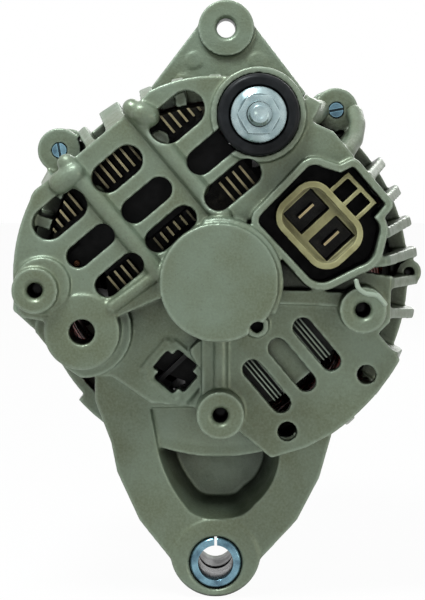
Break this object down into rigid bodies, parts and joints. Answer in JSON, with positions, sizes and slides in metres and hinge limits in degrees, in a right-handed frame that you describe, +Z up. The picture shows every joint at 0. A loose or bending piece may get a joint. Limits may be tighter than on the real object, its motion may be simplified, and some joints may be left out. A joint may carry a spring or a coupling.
{
  "type": "car alternator",
  "caption": "Claw-pole alternator with internal fans: vented cast brackets, rear foot with sliding bush, top ear, output stud, plug socket and ribbed belt pulley.",
  "frame": {"origin": "on the rotor axis, in the middle plane of the pulley's belt track", "axes": "+Z up towards the adjuster ear, +Y along the rotor axis out of the pulley end, +X to the right seen from the rear"},
  "size_m": [0.1365, 0.164, 0.2025],
  "materials": {
    "cast_aluminium": "as cast, lightly shot blasted",
    "lamination": "varnished steel sheet stack",
    "enamelled_copper": "red enamelled winding wire",
    "pole_steel": "dark phosphated steel",
    "machined_steel": "turned steel",
    "zinc_plate": "blue passivated zinc plate",
    "bearing_steel": "ground bearing steel",
    "bronze_fins": "tarnished plated fins",
    "black_plastic": "black moulded thermoset",
    "tan_plastic": "tan moulded nylon",
    "copper": "bare copper",
    "carbon": "graphite",
    "spring_steel": "drawn wire",
    "brass_blade": "tin plated brass",
    "fan_steel": "zinc phosphated sheet"
  },
  "bodies": {
    "housing": {"front_bracket": "cast_aluminium", "rear_bracket": "cast_aluminium", "stator_core": "lamination", "stator_winding": "enamelled_copper", "stator_leads": "copper", "front_bearing_outer_race": "bearing_steel", "rear_bearing_outer_race": "bearing_steel", "front_bearing_shields": "machined_steel", "rear_bearing_shields": "machined_steel", "bearing_retainer_plate": "zinc_plate", "retainer_screws": "zinc_plate", "through_bolts": "zinc_plate", "positive_heat_sink": "bronze_fins", "negative_heat_sink": "bronze_fins", "positive_diodes": "machined_steel", "negative_diodes": "machined_steel", "rectifier_terminal_plate": "black_plastic", "rectifier_screws": "zinc_plate", "brush_holder": "black_plastic", "brush_spring_1": "spring_steel", "brush_spring_2": "spring_steel", "regulator_module": "black_plastic", "regulator_heat_sink": "cast_aluminium", "regulator_screws": "zinc_plate", "connector_shell": "tan_plastic", "connector_blades": "brass_blade", "output_stud": "zinc_plate", "stud_insulator": "black_plastic", "output_nut": "zinc_plate"},
    "rotor": {"rotor_shaft": "machined_steel", "front_claw_pole": "pole_steel", "rear_claw_pole": "pole_steel", "coil_bobbin": "tan_plastic", "field_coil": "enamelled_copper", "front_fan": "fan_steel", "rear_fan": "fan_steel", "slip_ring_insulator": "black_plastic", "slip_rings": "copper", "front_bearing_inner_race": "bearing_steel", "rear_bearing_inner_race": "bearing_steel", "pulley": "machined_steel", "pulley_washer": "zinc_plate", "pulley_nut": "zinc_plate", "pulley_spacer": "machined_steel"},
    "front_cage": {"front_bearing_cage": "brass_blade", "front_bearing_balls": "bearing_steel"},
    "rear_cage": {"rear_bearing_cage": "brass_blade", "rear_bearing_balls": "bearing_steel"},
    "brush_1": {"brush_1": "carbon"},
    "brush_2": {"brush_2": "carbon"},
    "bush": {"pivot_bush": "zinc_plate"}
  },
  "joints": [
    {"name": "rotor_spin", "type": "hinge", "parent": "housing", "child": "rotor", "pos_m": [0, 0, 0], "axis": [0, 1, 0], "continuous": true},
    {"name": "front_cage_spin", "type": "hinge", "parent": "housing", "child": "front_cage", "pos_m": [0, -0.024, 0], "axis": [0, 1, 0], "continuous": true},
    {"name": "rear_cage_spin", "type": "hinge", "parent": "housing", "child": "rear_cage", "pos_m": [0, -0.128, 0], "axis": [0, 1, 0], "continuous": true},
    {"name": "brush_1_slide", "type": "slide", "parent": "housing", "child": "brush_1", "axis": [0.6428, 0, -0.766], "range_m": [0, 0.006], "stiffness_N_per_m": 200, "springref_m": -0.018, "deforming": ["brush_spring_1"]},
    {"name": "brush_2_slide", "type": "slide", "parent": "housing", "child": "brush_2", "axis": [0.6428, 0, -0.766], "range_m": [0, 0.006], "stiffness_N_per_m": 200, "springref_m": -0.018, "deforming": ["brush_spring_2"]},
    {"name": "pivot_bush_slide", "type": "slide", "parent": "housing", "child": "bush", "axis": [0, 1, 0], "range_m": [0, 0.003]}
  ],
  "couplings": [
    {"joint": "front_cage_spin", "follows": "rotor_spin", "ratio": 0.36375},
    {"joint": "rear_cage_spin", "follows": "rotor_spin", "ratio": 0.365}
  ]
}
